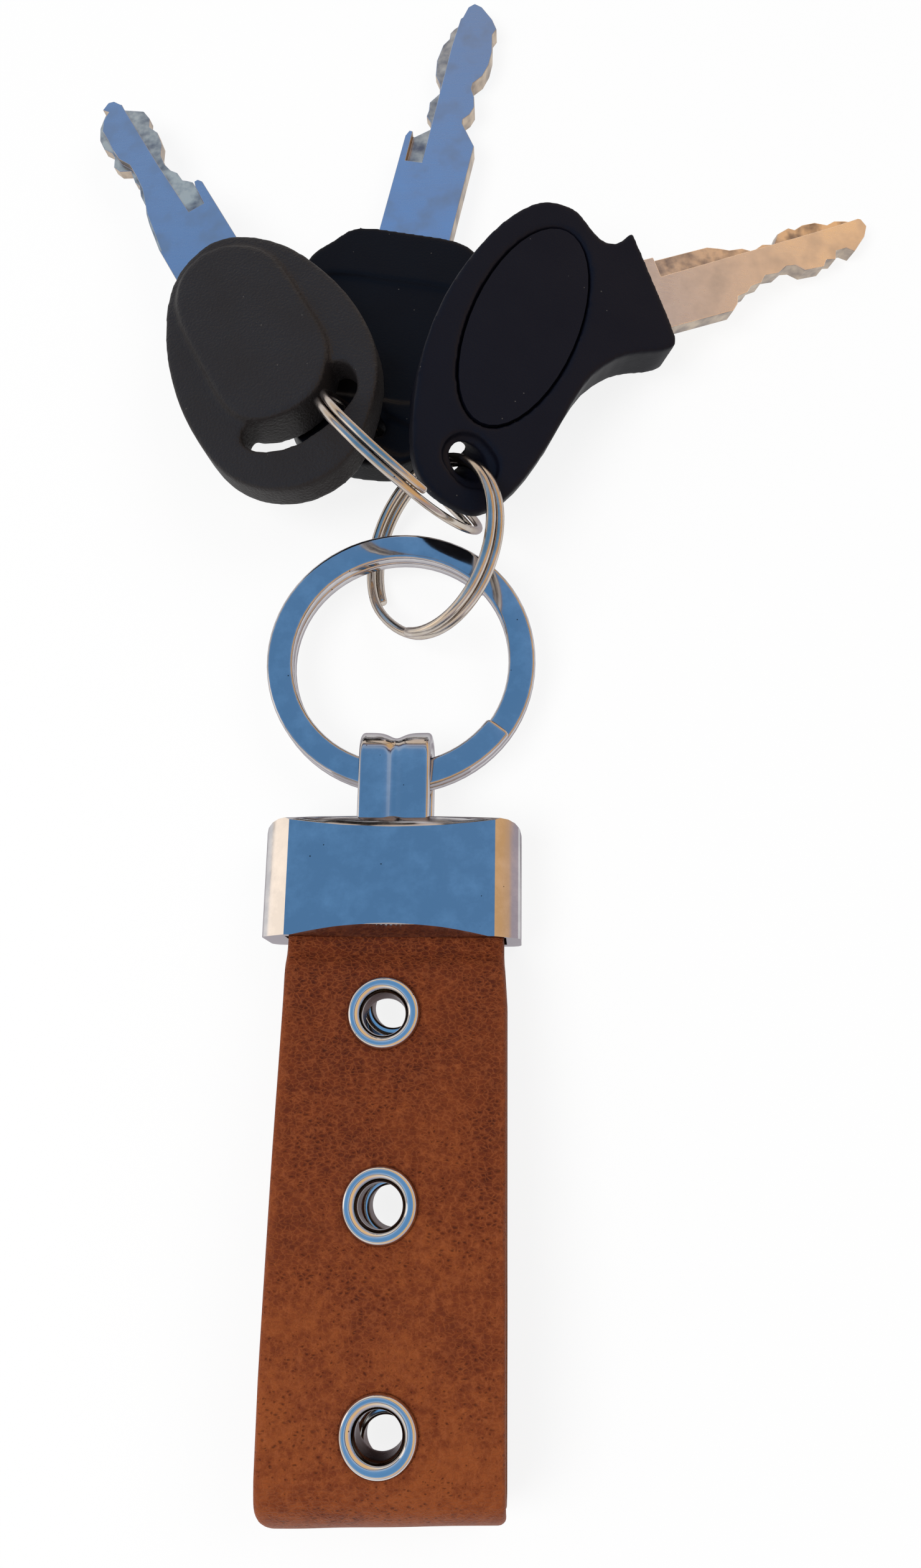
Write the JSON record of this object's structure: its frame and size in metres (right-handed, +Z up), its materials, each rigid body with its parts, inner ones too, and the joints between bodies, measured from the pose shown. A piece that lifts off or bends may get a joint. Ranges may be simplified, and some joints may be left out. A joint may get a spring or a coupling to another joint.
{
  "type": "leather key fob with keys",
  "caption": "Folded leather strap fob with eyelets, a metal end clamp and bail, a large flat split ring, small wire split rings and linked keys.",
  "frame": {"origin": "middle of the flat back of the metal end clamp, on the surface that the fob lies on", "axes": "+Z up out of the clamp's front, +Y from the strap toward the keys along the length, +X to the right seen from above"},
  "size_m": [0.1093, 0.2029, 0.0254],
  "materials": {
    "leather": "cognac top grain, lightly burnished",
    "lining": "raw flesh side",
    "nickel": "polished nickel plate",
    "steel": "nickel silver, milled",
    "black_plastic": "fine moulded grain"
  },
  "bodies": {
    "fob": {"strap_leather": "leather", "strap_lining": "lining", "eyelet_front_1": "nickel", "eyelet_front_2": "nickel", "eyelet_front_3": "nickel", "eyelet_back_1": "nickel", "eyelet_back_2": "nickel", "eyelet_back_3": "nickel", "washer_front_1": "nickel", "washer_front_2": "nickel", "washer_front_3": "nickel", "washer_back_1": "nickel", "washer_back_2": "nickel", "washer_back_3": "nickel", "clamp_cap": "nickel", "clamp_screw_1": "steel", "clamp_screw_2": "steel", "bail": "nickel"},
    "large_ring": {"split_ring_large": "nickel"},
    "small_ring_a": {"split_ring_a": "nickel"},
    "small_ring_b": {"split_ring_b": "nickel"},
    "key_left": {"key_left_head": "black_plastic", "key_left_blade": "steel"},
    "key_mid": {"key_mid_head": "black_plastic", "key_mid_blade": "steel"},
    "key_right": {"key_right_head": "black_plastic", "key_right_inlay": "black_plastic", "key_right_blade": "steel"}
  },
  "joints": [
    {"name": "large_ring_swing", "type": "hinge", "parent": "fob", "child": "large_ring", "pos_m": [0.0001, 0.0139, 0.005], "axis": [1, 0, 0], "range_deg": [-90, 90]},
    {"name": "small_ring_a_swing", "type": "hinge", "parent": "large_ring", "child": "small_ring_a", "pos_m": [0.0036, 0.0442, 0.005], "axis": [1, 0, 0], "range_deg": [-20, 60]},
    {"name": "key_right_swing", "type": "hinge", "parent": "small_ring_a", "child": "key_right", "pos_m": [0.00848, 0.05228, 0.01358], "axis": [0.6033, -0.5446, 0.5826], "range_deg": [-12, 30]},
    {"name": "small_ring_b_swing", "type": "hinge", "parent": "small_ring_a", "child": "small_ring_b", "pos_m": [0.00061, 0.05304, 0.00598], "axis": [-0.6519, -0.4226, -0.6296], "range_deg": [-20, 90]},
    {"name": "key_left_swing", "type": "hinge", "parent": "small_ring_b", "child": "key_left", "pos_m": [-0.00829, 0.06154, 0.01143], "axis": [0.35, 0.1749, -0.9203], "range_deg": [-3, 40]},
    {"name": "key_mid_swing", "type": "hinge", "parent": "small_ring_b", "child": "key_mid", "pos_m": [-0.00394, 0.061, 0.00473], "axis": [0.6802, -0.3042, -0.667], "range_deg": [-10, 3]}
  ]
}
